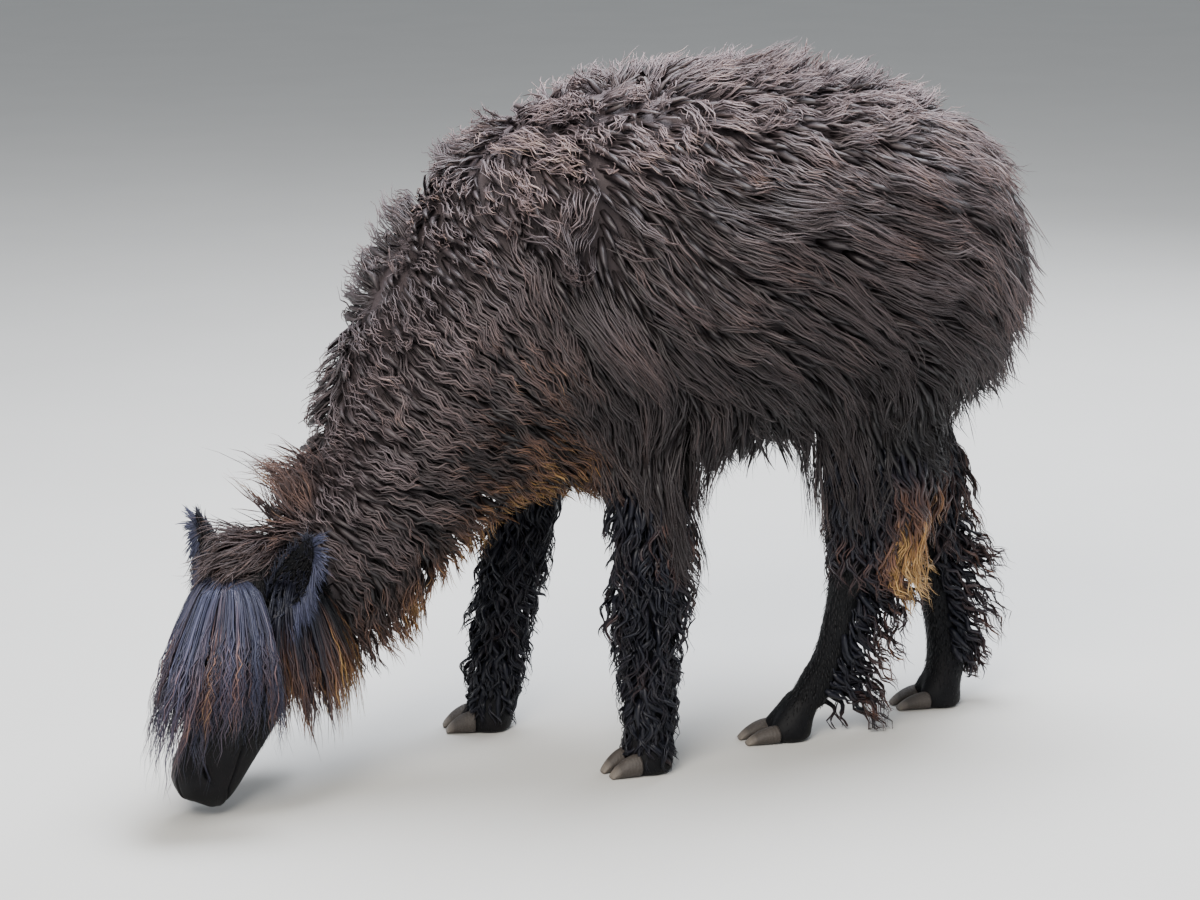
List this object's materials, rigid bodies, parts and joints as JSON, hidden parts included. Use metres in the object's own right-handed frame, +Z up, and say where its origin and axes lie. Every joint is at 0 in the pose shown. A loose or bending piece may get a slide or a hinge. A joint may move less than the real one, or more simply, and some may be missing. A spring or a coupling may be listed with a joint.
{
  "type": "llama",
  "caption": "Still life-size figure of a long-fleeced llama, standing and grazing with its head down and its fringe over its eyes.",
  "frame": {"origin": "on the ground, under the centre of the bounding box", "axes": "-X towards the head, -Y towards the animal's left side, +Z up"},
  "size_m": [1.5094, 0.5426, 1.145],
  "materials": {
    "fleece": "long dark brown fleece",
    "neck_fleece": "crimped brown wool",
    "leg_wool": "black-brown curls",
    "short_coat": "short smooth black hair",
    "fringe": "long straight grey-black hair with brown tips",
    "eye": "wet and glossy",
    "nail": "worn grey-brown horn"
  },
  "bodies": {
    "root": {"cheek_wool_left": "fringe", "cheek_wool_right": "fringe", "ear_left": "short_coat", "ear_right": "short_coat", "eye_left": "eye", "eye_right": "eye", "fore_left_foot": "short_coat", "fore_left_forearm": "leg_wool", "fore_left_nail_inner": "nail", "fore_left_nail_outer": "nail", "fore_left_shank": "leg_wool", "fore_right_foot": "short_coat", "fore_right_forearm": "leg_wool", "fore_right_nail_inner": "nail", "fore_right_nail_outer": "nail", "fore_right_shank": "leg_wool", "forelock": "fringe", "head": "short_coat", "hind_left_cannon": "leg_wool", "hind_left_foot": "short_coat", "hind_left_nail_inner": "nail", "hind_left_nail_outer": "nail", "hind_left_thigh": "leg_wool", "hind_right_cannon": "leg_wool", "hind_right_foot": "short_coat", "hind_right_nail_inner": "nail", "hind_right_nail_outer": "nail", "hind_right_thigh": "leg_wool", "neck": "neck_fleece", "tail": "fleece", "trunk": "fleece"}
  },
  "joints": []
}
